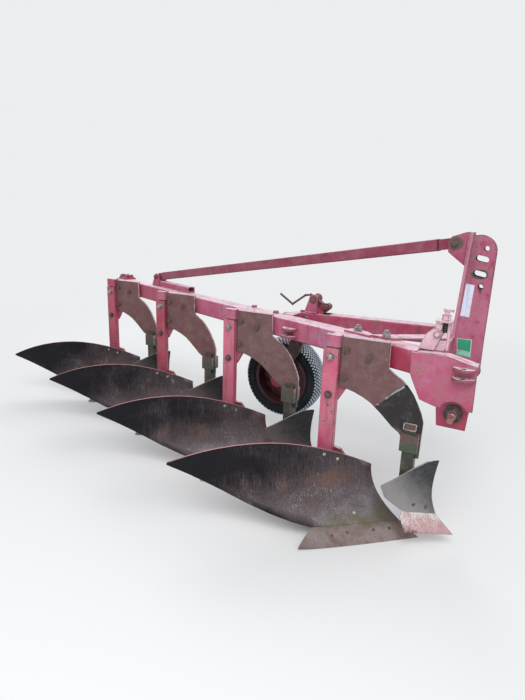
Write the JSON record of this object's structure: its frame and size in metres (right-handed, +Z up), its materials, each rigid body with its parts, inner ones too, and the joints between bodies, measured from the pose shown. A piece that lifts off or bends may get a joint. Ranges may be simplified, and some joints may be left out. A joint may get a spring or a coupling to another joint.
{
  "type": "mounted mouldboard plough",
  "caption": "Mounted mouldboard plough with a diagonal beam, curved bodies and skimmers in echelon, a top-link mast with a long strut, and a depth wheel on a swinging arm.",
  "frame": {"origin": "on the ground under the middle of the plough's outline", "axes": "+X is the way it travels, +Y points to the unploughed land on its left, +Z is up"},
  "size_m": [3.7645, 1.7438, 1.563],
  "materials": {
    "red_paint": "worn gloss",
    "dark_red_paint": "worn satin",
    "primer": "matt",
    "rusty_steel": "rusty satin",
    "worn_steel": "dusty matt",
    "bare_steel": "satin",
    "pink_paint": "matt",
    "blank_plate": "satin",
    "tyre_rubber": "matt"
  },
  "bodies": {
    "frame": {"main_beam": "red_paint", "side_beam": "red_paint", "cross_tube": "red_paint", "rear_cross": "red_paint", "side_plate": "red_paint", "hitch_plate_right": "red_paint", "hitch_plate_left": "red_paint", "hitch_shaft": "bare_steel", "mast": "red_paint", "strut": "red_paint", "strut_foot": "red_paint", "brace_bar": "red_paint", "adjuster": "red_paint", "lugs": "red_paint", "rear_plate": "red_paint", "bracket_1": "red_paint", "bracket_2": "red_paint", "bracket_3": "red_paint", "bracket_4": "red_paint", "leg_1": "red_paint", "leg_2": "red_paint", "leg_3": "red_paint", "leg_4": "red_paint", "frog_1": "dark_red_paint", "frog_2": "dark_red_paint", "frog_3": "dark_red_paint", "frog_4": "dark_red_paint", "mouldboard_1": "rusty_steel", "mouldboard_2": "rusty_steel", "mouldboard_3": "rusty_steel", "mouldboard_4": "rusty_steel", "share_1": "worn_steel", "share_2": "worn_steel", "share_3": "worn_steel", "share_4": "worn_steel", "landsides": "rusty_steel", "skimmer_arm_1": "primer", "skimmer_arm_2": "primer", "skimmer_arm_3": "primer", "skimmer_arm_4": "primer", "skimmer_stalks": "primer", "skimmer_board_1": "bare_steel", "skimmer_board_2": "bare_steel", "skimmer_board_3": "bare_steel", "skimmer_board_4": "bare_steel", "skimmer_shares": "pink_paint", "wheel_bracket": "red_paint", "depth_spindle": "dark_red_paint", "sign_plates": "blank_plate"},
    "wheel_arm": {"wheel_arm": "dark_red_paint"},
    "wheel": {"wheel_rim": "red_paint", "tyre": "tyre_rubber"}
  },
  "joints": [
    {"name": "depth_arm", "type": "hinge", "parent": "frame", "child": "wheel_arm", "pos_m": [0.787, 0.292, 0.973], "axis": [0, -1, 0], "range_deg": [-8, 15]},
    {"name": "wheel_turn", "type": "hinge", "parent": "wheel_arm", "child": "wheel", "pos_m": [0.574, 0.414, 0.504], "axis": [0, 1, 0], "continuous": true}
  ]
}
